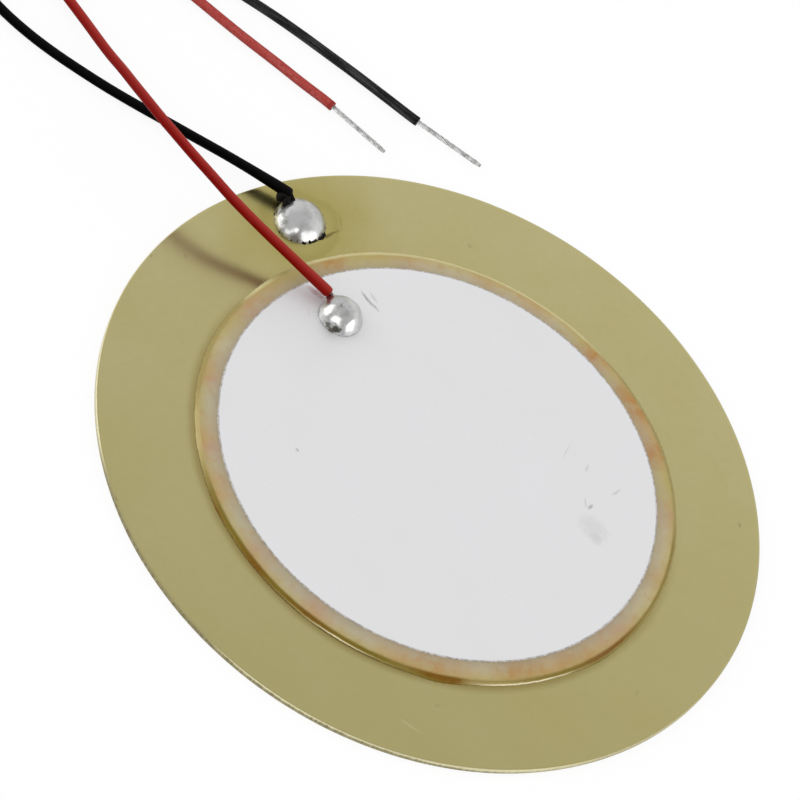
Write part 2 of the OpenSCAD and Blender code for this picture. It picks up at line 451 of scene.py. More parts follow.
# Tints of the adhesive where it climbs the ceramic's side, and at its foot on the brass. The highlight
# tints are painted highlights on the bead and the ceramic's lip
SIDE_TINTS = {
    -180: DARK, -172: BROWN, -165: DARK, -156: BROWN, -148: DARK, -140: DARK, -133: OLIVE, -127: BROWN,
    -120: BROWN, -117: KHAKI, -110: KHAKI, -101: OLIVE, -92: DARK, -84: BROWN, -76: BROWN, -68: OLIVE,
    -44: OLIVE, -36: KHAKI, 0: KHAKI, 8: KHAKI, 17: PALE_HIGHLIGHT, 88: PALE_HIGHLIGHT, 98: KHAKI, 106: PALE_HIGHLIGHT, 114: KHAKI,
    141: KHAKI, 149: DIM_HIGHLIGHT, 157: DIM_HIGHLIGHT, 163: KHAKI, 168: OLIVE, 173: DARK, 180: DARK,
}
FOOT_TINTS = {
    -180: OLIVE, -172: BROWN, -164: OLIVE, -156: KHAKI, -148: BRIGHT_HIGHLIGHT, -140: KHAKI, -134: OLIVE,
    -128: DARK, -121: BROWN, -117: KHAKI, -111: BRIGHT_HIGHLIGHT, -98: BRIGHT_HIGHLIGHT, -91: KHAKI, -85: OLIVE, -60: KHAKI,
    0: KHAKI, 17: PALE_HIGHLIGHT, 88: PALE_HIGHLIGHT, 98: KHAKI, 106: PALE_HIGHLIGHT, 114: KHAKI, 136: KHAKI, 150: DIM_HIGHLIGHT, 157: DIM_HIGHLIGHT,
    163: KHAKI, 168: OLIVE, 173: BROWN, 180: OLIVE,
}

# Marks on the silver: middle, half length and half width, direction in degrees, darkness
SILVER_MARKS = [
    ((1.55, 9.35), (0.5, 0.09), 95, 0.5),
    ((1.68, 8.8), (0.35, 0.08), 100, 0.4),
    ((1.95, 9.3), (0.4, 0.08), 92, 0.2),
    ((5.97, -5.5), (0.22, 0.1), 20, 0.4),
    ((5.85, -5.2), (0.3, 0.06), 60, 0.2),
    ((5.35, -6.6), (0.9, 0.65), 110, 0.1),
    ((5.1, -7.2), (0.4, 0.3), 90, 0.1),
    ((7.87, -5.28), (0.35, 0.07), 10, 0.2),
    ((7.18, -3.5), (0.25, 0.08), 40, 0.2),
    ((6.7, -2.25), (0.6, 0.04), 32, 0.15),
    ((-7.1, 2.7), (0.12, 0.07), 100, 0.4),
    ((-2.0, 9.6), (0.3, 0.04), 70, 0.12),
]
# Painted reflection and shadow of the red lead on the silver beside its end
RED_REFLECTION_AND_SHADOW = ((-0.88, 10.5), (0.6, 0.2), -62, 0.5)

# Flux streaks and specks on the brass, in the same terms
BRASS_MARKS = [
    ((3.1, 14.15), (0.6, 0.07), 65, 0.25),
    ((1.95, 13.6), (0.5, 0.1), 12, 0.8),
    ((2.5, 13.68), (0.3, 0.07), 5, 0.4),
    ((-8.0, 15.4), (0.12, 0.07), 30, 0.3),
    ((-6.25, 14.8), (0.14, 0.06), 80, 0.25),
    ((-17.1, 3.5), (0.15, 0.08), 80, 0.4),
    ((13.55, -9.25), (0.16, 0.1), 60, 0.3),
    ((-8.1, -11.9), (0.12, 0.07), 0, 0.15),
    ((2.1, -15.2), (0.14, 0.08), 40, 0.15),
    ((9.3, 10.6), (0.16, 0.08), 100, 0.25),
]
BRASS_SCRATCH = ((-10.0, -12.3), (0.7, 0.05), 118, 0.4)


def blot(place, middle, size, turn):
    """A ragged long mark: 1 in its middle and 0 outside it."""
    angle = math.radians(turn)
    x, y, _ = place.move((-middle[0], -middle[1], 0)).axes()
    along = (x * math.cos(angle) + y * math.sin(angle)) / size[0]
    across = (y * math.cos(angle) - x * math.sin(angle)) / size[1]
    ragged = (place.noise(7, 3, 0.7) - 0.5) * 2.4
    return (along * along + across * across + ragged).fall(-0.2, 1.6)


def marked(place, colour, marks, tone):
    """A colour with marks of another tone on it."""
    for middle, size, turn, depth in marks:
        colour = mix(blot(place, middle, size, turn) * depth, colour, tone)
    return colour


def rolled_face(place, clouds, grain):
    """Colour of the brass sheet: cloudy, grained along X, mottled and tarnished."""
    colour = mix(clouds.rise(0.3, 0.7), rgb("c9bf87"), rgb("ccc38f"))
    colour = mix(grain.rise(0.3, 0.8) * 0.06, colour, rgb("bfb578"))
    mottle = place.noise(2.4, 4, 0.7, offset=(6, 6, 0)).rise(0.35, 0.7)
    colour = mix(mottle * 0.12, colour, rgb("b9ad74"))

    # Tarnish, a little deeper on the side away from the joints
    x, y, _ = place.axes()
    tarnish = (y * -0.8 - x * 0.4 + (clouds - 0.5) * 8).rise(-8, 14)
    return mix(tarnish * 0.35, colour, rgb("bdb274"))


def soiled_face(place, colour, joint, heat, wander):
    """The sheet's colour with the traces of soldering, painted shade round the bead, and its specks and
    scratch.
    """
    # Heat from the soldering iron, which greened the brass between the joint and the ceramic
    colour = mix(heat * 0.7, colour, rgb("b6a960"))

    # Edge of the dried flux
    spread = joint + wander * 1.3
    stain = spread.rise(1.35, 2.0) * spread.fall(2.05, 2.3)
    colour = mix(stain * 0.4, colour, rgb("a79a55"))

    # Painted shade: the reflection of the ceramic's side and its contact shadow darken the brass round the
    # bead, deeper on the near side
    out = spot_distance(place, CERAMIC.middle)
    bead_shade = (out + wander * 0.2).fall(CERAMIC_R + 0.15, CERAMIC_R + 0.65)
    bead_shade = bead_shade * (1 - facing_away(place) * 0.95)
    colour = mix(bead_shade * 0.85, colour, shade(colour, (0.71, 0.64, 0.5, 1)))

    colour = marked(place, colour, BRASS_MARKS, rgb("6e6032"))
    return marked(place, colour, [BRASS_SCRATCH], rgb("e0d9b0"))


def punched_side(place, face, rim, around, far, dull):
    """The face's colour, and on the rim that of the punched edge: burnished above and torn below."""
    streaks = place.stretch((6, 6, 1.5)).noise(1.0, 2, offset=(2, 0, 5))
    burnished = mix(streaks, rgb("d3cc9f"), rgb("e0dab8"))
    # Painted shade: the burnished edge is darkened round the -X side, and less over the +X half, to hold
    # back the lamps' highlight there; round the +X side it is darker still
    burnished = mix(dull * 0.9, burnished, rgb("938b63"))
    burnished = mix(around.fall(0.3, 0.45) * 0.6, burnished, rgb("8a875f"))
    colour = mix(rim, face, burnished)

    # The torn band stands higher and shows more on the near side
    far = far * around.fall(0.85, 0.98)
    torn_to = 0.13 + around.rise(0.62, 0.75) * (1 - far) * 0.09
    height = place.axes()[2]
    torn = rim * (height + (streaks - 0.5) * 0.12 - torn_to).fall(0, 0.04)
    rough_side = mix(streaks.rise(0.3, 0.7), rgb("877e57"), rgb("a8a079"))
    return mix(torn * (1 - around.fall(0.56, 0.68).most(far) * 0.55), colour, rough_side)


def brass_finish():
    """Satin rolled brass, with flux stains round the joint and a punched edge."""
    material, place, shader = new_material("satin_brass")
    clouds = place.noise(0.16, 3)
    grain = place.stretch((0.5, 14, 1)).noise(1.0, 4, 0.6)
    joint = spot_distance(place, PLATE_JOINT.middle)
    wander = place.noise(0.55, 3, offset=(3, 1, 0)) - 0.5
    heat = (joint + wander * 2.5).fall(1.6, 5.8)
    face = soiled_face(place, rolled_face(place, clouds, grain), joint, heat, wander)

    rim = spot_distance(place, PLATE.middle).rise(PLATE.radius - 0.07, PLATE.radius - 0.02)
    around, far = spot_angle(place, PLATE.middle)
    # Painted shade: how much the burnished edge is darkened and roughened
    dull = around.rise(0.86, 0.93).most(around.fall(0.5, 0.62) * 0.5)
    colour = punched_side(place, face, rim, around, far, dull)

    rough = 0.21 + clouds * 0.05 + grain * 0.03 + heat * 0.04 + rim * (dull * 0.25 + 0.22)
    dents = relief(place.noise(0.3, 2, offset=(1, 8, 0)), 0.006)
    normal = relief(grain, 0.0006, dents)
    dress(shader, Base_Color=colour, Metallic=1 - rim * 0.45, Roughness=rough, Normal=normal)
    return material


def ceramic_finish():
    """Fired ceramic under a thin film of lacquer that gives it peach and grey-green patches."""
    material, place, shader = new_material("mottled_ceramic")
    around, far = spot_angle(place, CERAMIC.middle)
    drift = (place.noise(0.9, 4, 0.65) - 0.5) * 0.045
    patchy = ring_tint(around + drift, far, RIM_TINTS)
    blotchy = place.noise(1.5, 3, 0.6, offset=(3, 3, 3)).rise(0.36, 0.58)
    out = spot_distance(place, CERAMIC.middle)
    blots = place.noise(1.1, 3, 0.65, offset=(5, 0, 3))
    across = (out + (blots - 0.5) * 0.5 - ELECTRODE.radius) / (CERAMIC_R - ELECTRODE.radius)
    deep = (blotchy * 0.6 + 0.4) * (across.rise(0, 0.55) * 0.5 + 0.5)
    colour = mix(deep, rgb("ad9d7c"), patchy)

    cool = place.noise(2.2, 3, offset=(0, 9, 0)).rise(0.5, 0.72)
    colour = mix(cool * 0.3, colour, SAGE)
    warm = place.noise(1.9, 3, offset=(4, 4, 0)).rise(0.52, 0.75)
    colour = mix(warm * 0.4, colour, AMBER)

    colour = shade(colour, across.tint(ACROSS_RIM))

    # The lip under its film of adhesive, painted pale as a highlight on the far side, and the smeared side
    film = ring_tint(around, far, SIDE_TINTS)
    lip = (out + (blots - 0.5) * 0.1).rise(CERAMIC_R - 0.13, CERAMIC_R)
    colour = mix(lip * 0.85, colour, film)
    smear = place.axes()[2].fall(CERAMIC.high - 0.05, CERAMIC.high - 0.02)
    colour = mix(smear, colour, rgb("6a5a22"))

    rough = 0.45 + blots * 0.15
    normal = relief(place.noise(6, 3), 0.002)
    dress(shader, Base_Color=colour, Roughness=rough, Normal=normal, Specular_IOR_Level=0.3)
    return material


def resin_finish():
    """Set adhesive: dark where it is thick on the ceramic's side, and thin and paler at its foot. Its
    palest tints are painted highlights.
    """
    material, place, shader = new_material("amber_resin")
    around, far = spot_angle(place, CERAMIC.middle)
    around = around + (place.noise(1.1, 2) - 0.5) * 0.02
    side = ring_tint(around, far, SIDE_TINTS)
    foot = ring_tint(around, far, FOOT_TINTS)
    motes = place.noise(3.5, 3, 0.6)
    slope = place.node("Attribute", {"attribute_name": "slope"}, {}, out=2)
    down = slope + (motes - 0.5) * 0.3
    colour = mix(down.rise(0.4, 0.65), side, foot)
    colour = mix(motes.rise(0.45, 0.75) * 0.15, colour, rgb("8f7a3c"))
    fade = down.fall(0.75, 1.0)
    rough = 0.3 + motes * 0.15
    normal = relief(place.noise(2.5, 2), 0.004)
    dress(
        shader, Base_Color=colour, Roughness=rough, Normal=normal, Alpha=fade, Specular_IOR_Level=0.12,
    )
    return material


def silver_finish():
    """Fired silver print: matt and pale, with a fine grain, a scratch, smudges and a painted reflection and
    shadow of the red lead.
    """
    material, place, shader = new_material("matt_silver")
    clouds = place.noise(0.25, 3, offset=(2, 2, 0))
    colour = mix(clouds, rgb("f1f1f1"), rgb("f6f6f8"))
    grain = place.noise(9, 3, 0.7)
    colour = mix(grain.rise(0.4, 0.9) * 0.25, colour, rgb("e2e2e2"))

    colour = marked(place, colour, SILVER_MARKS, rgb("77797a"))
    colour = marked(place, colour, [RED_REFLECTION_AND_SHADOW], rgb("9c3c40"))

    # At its edge the print is thin, and the ceramic shows through
    out = spot_distance(place, ELECTRODE.middle)
    edge = (out + (place.noise(2.5, 2) - 0.5) * 0.06).rise(ELECTRODE.radius - 0.06, ELECTRODE.radius)
    ticks = place.noise(5, 2, 0.6, offset=(1, 5, 0)).rise(0.4, 0.6)
    colour = mix(edge * (0.4 + ticks * 0.4), colour, rgb("a69d8e"))
    rough = 0.58 + grain * 0.1
    fine = relief(grain, 0.0015)
    normal = relief(place.noise(1.2, 2), 0.003, fine)
    dress(shader, Base_Color=colour, Metallic=1.0, Roughness=rough, Normal=normal)
    return material


def solder_finish(name, joint, dark_spots):
    """Bright solder with dull patches. Flux is burnt on round its foot and at a few dark spots, and some
    spots are painted reflection.

    A spot is its middle, its reach in millimetres and its depth from 0 to 1.
    """
    material, place, shader = new_material(name)
    patches = place.noise(1.2, 3, 0.55)
    colour = mix(patches.rise(0.35, 0.7), rgb("d2d3d2"), rgb("b6b7b5"))
    skin = place.noise(3.2, 3, 0.7, offset=(6, 0, 2))
    colour = mix(skin.rise(0.55, 0.8) * 0.4, colour, rgb("b0b1ae"))
    ragged = (place.noise(3.5, 3, 0.7, offset=(0, 3, 0)) - 0.5) * 0.3
    ragged = ragged + (place.noise(9, 3, 0.7, offset=(4, 0, 0)) - 0.5) * 0.35
    foot = (place.axes()[2] + ragged).fall(joint.low, joint.low + 0.12)
    burnt = foot * 0.6
    # Dark spots: burnt flux, and on the plate's joint also a painted reflection of the black lead
    for middle, reach, depth in dark_spots:
        away = place.node("VectorMath", {"operation": "DISTANCE"}, {0: place, 1: middle}, out=1)
        burnt = burnt.most((away + ragged).fall(reach * 0.4, reach) * depth)
    colour = mix(burnt, colour, rgb("2c2614"))
    rough = 0.2 + patches * 0.1 + burnt * 0.2 + skin.rise(0.55, 0.75) * 0.08
    waves = relief(place.noise(1.6, 2, offset=(1, 1, 4)), 0.012)
    normal = relief(skin, 0.003, waves)
    dress(shader, Base_Color=colour, Metallic=1 - burnt * 0.7, Roughness=rough, Normal=normal)
    return material


def tinned_finish(name, dirt):
    """Tinned copper strands, browned with flux by a share from 0 to 1."""
    material, place, shader = new_material(name)
    patches = place.noise(4, 3, 0.6)
    colour = mix(patches.rise(0.35, 0.7), rgb("d8d8d8"), rgb("a3a3a1"))
    colour = mix((patches * 0.4 + dirt).least(1) * min(dirt * 9, 1), colour, rgb("30200f"))
    rough = 0.25 + patches * 0.15
    normal = relief(place.noise(14, 2), 0.003)
    dress(shader, Base_Color=colour, Metallic=1.0, Roughness=rough, Normal=normal)
    return material


def insulation_finish(name, joint_end, lit_side, mid_way, free_end, sheen_streak, gloss):
    """Extruded plastic insulation: satin, deep in colour at its joint and painted paler towards its free
    end, where it looks more lit.
    """
    material, place, shader = new_material(name)
    coords = material.node_tree.nodes.new("ShaderNodeTexCoord")
    skin = Wire(material.node_tree, coords.outputs["UV"])
    along = skin.axes()[0]
    # Painted light: the lead's tones grow paler towards its free end, where it looks more lit
    toward_free_end = along.rise(0.1, 0.9)
    colour = along.tint([(0.1, joint_end), (0.28, mid_way), (0.36, mid_way), (0.8, free_end)])

    # Streaks along the lead, painted paler as a sheen, and specks, both towards the free end; and the cut
    # end
    lines = skin.stretch((40, 9, 1)).noise(1.0, 3, 0.6)
    colour = mix(lines.rise(0.4, 0.7) * toward_free_end * 0.5, colour, sheen_streak)
    specks = place.noise(7, 3, 0.7).rise(0.45, 0.7) * toward_free_end
    colour = mix(specks * 0.5, colour, joint_end)
    patches = place.noise(1.3, 3, 0.6)
    colour = mix(patches.rise(0.6, 0.8) * 0.15, colour, free_end)
    cut_end = along.rise(0.9975, 0.999)
    colour = mix(cut_end * 0.5, colour, joint_end)

    # Painted light: near the joint the lead is paler where it faces up and towards +X
    x, y, z = Wire(material.node_tree, coords.outputs["Normal"]).axes()
    lit = (x * 0.9 + z * 0.4 - y * 0.1).rise(-0.7, 1.0)
    colour = mix(lit * (1 - toward_free_end) * 0.5, colour, lit_side)

    fine = relief(place.noise(12, 3), 0.003)
    normal = relief(lines, 0.004, fine)
    rough = 0.42 + patches * 0.12
    dress(shader, Base_Color=colour, Roughness=rough, Normal=normal, Specular_IOR_Level=gloss)
    return material


def flux_finish(name, dark, light):
    """Burnt flux, which in places also stands in for shadow. In dark red it paints the red lead's
    reflection and shadow at the lead's end.
    """
    material, place, shader = new_material(name)
    patches = place.noise(2.2, 3, 0.6)
    colour = mix(patches.rise(0.35, 0.65), dark, light)
    rough = 0.4 + patches * 0.2
    normal = relief(place.noise(5, 3), 0.01)
    dress(shader, Base_Color=colour, Roughness=rough, Normal=normal, Specular_IOR_Level=0.1)
    return material


def tie_finish():
    """Plastic-coated twist tie, with faint ribs along it."""
    material, place, shader = new_material("tie_plastic")
    ribs = place.stretch((9, 0.6, 0.6)).noise(1.0, 2)
    dirt = place.noise(0.9, 3)
    colour = mix(dirt.rise(0.4, 0.8), rgb("e6e4dc"), rgb("d6d2c4"))
    colour = mix(ribs.rise(0.4, 0.7) * 0.25, colour, rgb("cbc7ba"))
    normal = relief(ribs, 0.01)
    dress(shader, Base_Color=colour, Roughness=0.4 + dirt * 0.15, Normal=normal)
    return material


# ---- Mesh tools ----

# Points nearer than this are one, edges steeper than this are sharp, and this keeps two faces apart
MERGE = 1e-5
SHARP = math.radians(50)
APART = 0.001


def mesh_object(name, bm):
    """A new object of the scene from a bmesh, which it uses up."""
    mesh = bpy.data.meshes.new(name)
    bm.to_mesh(mesh)
    bm.free()
    return new_object(name, mesh)


def finish_mesh(name, bm, material, replaced):
    """Makes a piece of a bmesh in millimetres, and gives it its material, slot and solid."""
    bmesh.ops.remove_doubles(bm, verts=bm.verts, dist=MERGE)
    bmesh.ops.recalc_face_normals(bm, faces=bm.faces)
    for face in bm.faces:
        face.smooth = True
    for edge in bm.edges:
        edge.smooth = edge.calc_face_angle(math.pi) < SHARP
    bmesh.ops.scale(bm, vec=(MM, MM, MM), verts=bm.verts)
    piece = mesh_object(name, bm)
    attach(piece, "root")
    paint(piece, material)
    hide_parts(*replaced)
    return piece


def paint(piece, material):
    """Gives a piece its material."""
    piece.data.materials.clear()
    piece.data.materials.append(material)


def spun(outline, steps=360):
    """A solid of revolution about Z, from the radii and heights of half its section."""
    bm = bmesh.new()
    corners = [bm.verts.new((radius, 0, height)) for radius, height in outline]
    edges = [bm.edges.new(pair) for pair in zip(corners, corners[1:])]
    bmesh.ops.spin(
        bm, geom=corners + edges, cent=(0, 0, 0), axis=(0, 0, 1), dvec=(0, 0, 0),
        angle=math.tau, steps=steps, use_merge=True,
    )
    bmesh.ops.remove_doubles(bm, verts=bm.verts, dist=MERGE)
    return bm


def arc(middle, radius, start, stop, count):
    """Points of an arc in half a section, between two angles in degrees."""
    points = []
    for i in range(count + 1):
        angle = math.radians(start + (stop - start) * i / count)
        points.append((middle[0] + radius * math.cos(angle), middle[1] + radius * math.sin(angle)))
    return points


def slab_outline(radius, low, high, top_edge, low_edge):
    """Half a section of a flat disc, with its own rounding at each rim."""
    top = arc((radius - top_edge, high - top_edge), top_edge, 90, 0, 4)
    under = arc((radius - low_edge, low + low_edge), low_edge, 0, -90, 3)
    # A corner just inside the rounding keeps the face's shading flat
    hold = [(radius - top_edge - 0.1, high)]
    return [(0, high)] + hold + top + under + [(0, low)]


def ripple(angle, *waves):
    """Smooth waves that run round a ring, added up. Each is its waves to a turn, seed and height."""
    total = 0
    for pace, seed, height in waves:
        reach = pace / math.tau
        spot = Vector((math.cos(angle) * reach, math.sin(angle) * reach, seed))
        total += noise.noise(spot) * height
    return total


def ripple_rim(bm, radius, inside, *waves, grown=0):
    """Makes a disc's rim uneven: what lies within a distance of its radius moves out or in."""
    for vert in bm.verts:
        if vert.co.xy.length > radius - inside:
            angle = math.atan2(vert.co.y, vert.co.x)
            vert.co.xy *= 1 + (ripple(angle, *waves) + grown) / radius


def shift(bm, offset):
    """Moves a whole mesh."""
    bmesh.ops.translate(bm, vec=offset, verts=bm.verts)


# ---- Pieces ----


def brass_disc(material):
    """The plate. Its rim is burnished over at the top and torn below, a few microns uneven."""
    bm = spun(slab_outline(PLATE.radius, PLATE.low, PLATE.high, *PLATE_EDGES))
    ripple_rim(bm, PLATE.radius, 0.07, (40, 1, 0.006), (130, 2, 0.003))
    finish_mesh("brass_disc", bm, material, ["brass_plate"])


def ceramic_wafer(material):
    """The ceramic under its smear of adhesive, with a slightly uneven rim."""
    bm = spun(slab_outline(CERAMIC_R, CERAMIC.low, CERAMIC.high, *CERAMIC_EDGES))
    ripple_rim(bm, CERAMIC_R, 0.04, (90, 3, 0.008))
    shift(bm, (*CERAMIC.middle, 0))
    finish_mesh("ceramic_wafer", bm, material, ["ceramic_disc"])


def silver_face(material):
    """The printed electrode, whose edge follows the mesh it was printed through."""
    bm = spun(slab_outline(ELECTRODE.radius, ELECTRODE.low, ELECTRODE.high, *SILVER_EDGES), 720)
    ripple_rim(bm, ELECTRODE.radius, 0.05, (240, 4, 0.006), (60, 5, 0.014), grown=0.05)
    shift(bm, (*ELECTRODE.middle, 0))
    finish_mesh("silver_face", bm, material, ["upper_electrode"])


# Where more adhesive was squeezed out, or less: angle and half width in degrees, extra width
RESIN_RUNS = [
    (172, 10, 0.05), (-156, 6, 0.03), (-125, 10, 0.13), (-82, 10, 0.06), (-13, 10, 0.05), (152, 28, -0.06),
]
BEAD_W = 0.215
BEAD_TALL = 0.2
LEAST_BEAD = 0.08


def bead_width(angle):
    """Width of the adhesive bead at an angle round the ceramic: narrower on the near side."""
    width = BEAD_W - 0.08 * math.cos(angle - NEAR_TURN) + ripple(angle, (30, 6, 0.04), (110, 7, 0.02))
    for middle, half, extra in RESIN_RUNS:
        off = abs((math.degrees(angle) - middle + 180) % 360 - 180)
        width += extra * (1 - smooth(off, 0, half))
    return max(width, LEAST_BEAD)


def adhesive_bead(material):
    """The film under the ceramic and the hollow-sided bead round it, as one body."""
    foot = PLATE.high + APART
    seat = CERAMIC.low
    edge = CERAMIC_R - 0.004
    # The slope is spun a millimetre up, as shares of the bead's width and height, and then put in place
    shares = [0, 0.08, 0.17, 0.27, 0.38, 0.5, 0.65, 0.82, 1]
    slope = [(edge + share, seat + 1 + share) for share in shares]
    film = [(0, LOWER.low), (LOWER.radius, LOWER.low), (LOWER.radius, seat), (edge, seat)]
    bm = spun(film + slope + [(0, foot)], 720)
    slope_layer = bm.verts.layers.float.new("slope")
    for vert in bm.verts:
        if vert.co.z < seat + 0.5:
            continue
        share = vert.co.z - seat - 1
        angle = math.atan2(vert.co.y, vert.co.x)
        tall = BEAD_TALL + ripple(angle, (50, 8, 0.015))
        hollow = 1.3 + 0.3 * math.cos(angle - NEAR_TURN)
        vert[slope_layer] = share
        vert.co.xy *= (edge + share * bead_width(angle)) / (edge + share)
        vert.co.z = foot + tall * (1 - share) ** hollow
    shift(bm, (*CERAMIC.middle, 0))
    finish_mesh("adhesive_bead", bm, material, ["adhesive"])


class Blob:
    """A solder joint that isn't quite its round cap.

    It stands off the cap's middle by an offset, as tall as a share of the cap, with a fullness below 1
    where its sides bulge. It is longer towards the near side by a share, and uneven. It climbs to the
    conductor's neck by the share rise. A lump is its way from the foot, its reach and its depth.
    """

    def __init__(self, joint, offset, tall, fullness, longer, uneven, neck, rise, seed, lumps):
        self.foot = Vector((*joint.middle, joint.low)) + Vector((*offset, 0))
        self.width = joint.radius
        self.cap = joint.high - joint.low
        self.tall, self.fullness, self.longer, self.uneven = tall, fullness, longer, uneven
        self.to_neck = Vector(neck) - self.foot
        self.rise = rise
        self.seed = UP * seed
        self.lumps = [(Vector(way).normalized(), reach, depth) for way, reach, depth in lumps]

    def oblong(self, flat):
        """A point round the middle, drawn out towards the near side and away from it."""
        return flat + NEAR_WAY * flat.dot(NEAR_WAY) * self.longer

    def bulge(self, way, swell):
        """How far the surface stands out at a way from the foot."""
        out = noise.noise(way * 1.7 + self.seed) * swell + noise.noise(way * 4 + self.seed) * swell * 0.35
        for lump, reach, depth in self.lumps:
            off = (way - lump).length / reach
            out += depth * math.exp(-off * off)
        return out


# A joint's foot: what counts as it, how uneven it is, and where it gives way to the sides. And how
# far the sides are drawn towards the neck.
FOOT = 1e-4
FOOT_SWELL = 0.02
SIDES_FROM = 0.3
NECK_REACH = 0.4


def round_cap(width, height):
    """A cap of a ball with a flat foot, finely meshed."""
    ball = (width * width + height * height) / (2 * height)
    bm = bmesh.new()
    bmesh.ops.create_uvsphere(bm, u_segments=128, v_segments=96, radius=ball)
    shift(bm, (0, 0, height - ball))
    whole = bm.verts[:] + bm.edges[:] + bm.faces[:]
    cut = bmesh.ops.bisect_plane(
        bm, geom=whole, plane_co=(0, 0, 0), plane_no=(0, 0, -1), clear_outer=True, dist=1e-6,
    )
    rim = [part for part in cut["geom_cut"] if isinstance(part, bmesh.types.BMEdge)]
    bmesh.ops.holes_fill(bm, edges=rim, sides=0)
    return bm


def solder_bead(name, blob, material, replaced):
    """A domed joint with uneven sides, dents and lumps, drawn up towards its conductor."""
    bm = round_cap(blob.width, blob.cap)
    for vert in bm.verts:
        at_foot = vert.co.z < FOOT
        if not at_foot:
            vert.co.z = blob.cap * blob.tall * (vert.co.z / blob.cap) ** blob.fullness
        way = vert.co.normalized()
        out = blob.bulge(way, FOOT_SWELL if at_foot else blob.uneven)
        off = (vert.co - blob.to_neck).length / NECK_REACH
        pull = blob.rise * math.exp(-off ** 2)
        place = vert.co + way * out * min(1, 0.3 + vert.co.z / SIDES_FROM)
        place += (blob.to_neck - vert.co) * pull
        place.xy = blob.oblong(place.xy)
        vert.co = Vector((place.x, place.y, max(place.z, 0 if at_foot else 2 * APART)))
    shift(bm, blob.foot)
    return finish_mesh(name, bm, material, replaced)


def strand_runs(start, along, length, strand, lay=2.2, taper=0.3):
    """Six strands wound round a seventh, each a run of points with its share of the diameter.

    They make a turn in each lay, and close up over the taper before their end.
    """
    along = Vector(along).normalized()
    side = along.orthogonal().normalized()
    other = along.cross(side)
    steps = max(12, round(length / 0.12))
    runs = []
    for k in range(7):
        run = []
        for i in range(steps + 1):
            run_on = length * i / steps
            angle = math.tau * (k / 6 + run_on / lay)
            closing = 1 - 0.3 * smooth(run_on, length - taper, length)
            reach = 0 if k == 6 else strand * 0.92 * closing
            turned = side * math.cos(angle) + other * math.sin(angle)
            share = 1.3 if k == 6 else closing
            run.append((Vector(start) + along * run_on + turned * reach, share))
        runs.append(run)
    return runs


def strands(name, start, along, length, strand, material, replaced):
    """A bare conductor of seven strands."""
    piece = curve_piece(name, strand_runs(start, along, length, strand), strand, resolution=2)
    piece.data.bevel_resolution = 3
    paint(piece, material)
    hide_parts(replaced)
    return piece


def flux_ring(blob, material):
    """Burnt flux in a thin uneven ring at the foot of the joint on the brass."""
    inner = blob.width - 0.12
    outline = [(inner, 0), (inner, 0.07), (inner + 0.12, 0.06), (inner + 0.19, 0.03), (inner + 0.26, 0)]
    bm = spun(outline + [(inner, 0)], 360)
    for vert in bm.verts:
        angle = math.atan2(vert.co.y, vert.co.x)
        beyond = vert.co.xy.length - inner
        # Thick at -62 degrees, and ragged round -131 degrees
        off = (math.degrees(angle) + 62) / 16
        ragged = 0.5 - 0.5 * math.cos(angle - 0.85)
        thick = 0.5 + ripple(angle, (24, 9, 0.25), (70, 10, 0.15)) + 0.45 * math.exp(-off ** 2)
        thick += ragged * ripple(angle, (40, 11, 0.35))
        vert.co.xy = blob.oblong(vert.co.xy * (inner + beyond * max(thick, 0.1)) / (inner + beyond))
        vert.co.z *= 1 + ragged * (0.7 + ripple(angle, (50, 12, 2.2)))
    shift(bm, blob.foot + UP * APART)
    return finish_mesh("flux_ring", bm, material, [])


def flux_and_shade_lump(name, start, end, thickness, material):
    """A dark lump, drawn out from one point to another. The black ones are burnt flux that also paints
    shadow; the red one paints the red lead's reflection and shadow.
    """
    start, end = Vector(start), Vector(end)
    half = (end - start).length / 2 + thickness / 2
    bm = bmesh.new()
    bmesh.ops.create_uvsphere(bm, u_segments=40, v_segments=24, radius=thickness / 2)
    bmesh.ops.scale(bm, vec=(1, 1, half / (thickness / 2)), verts=bm.verts)
    turn = (end - start).to_track_quat("Z", "Y").to_matrix()
    bmesh.ops.rotate(bm, cent=(0, 0, 0), matrix=turn, verts=bm.verts)
    for vert in bm.verts:
        vert.co *= 1 + noise.noise(vert.co * 3 + start) * 0.25
    shift(bm, (start + end) / 2)
    return finish_mesh(name, bm, material, [])


# The tie's strip, and its two ends twisted together
BAND_W = 0.9
TWIST_L = 2.2
TWIST_TURN = math.radians(640)
TWIST_W = 0.38
TWIST_T = 0.18
TWIST_EDGE = 0.06
TWIST_UP = 0.2
TWIST_STEPS = 60


def round_corners(bm, verts, edge, segments):
    """Rounds the corners of a flat face."""
    bmesh.ops.bevel(
        bm, geom=verts, offset=edge, offset_type="OFFSET", segments=segments, profile=0.5,
        affect="VERTICES", material=-1,
    )


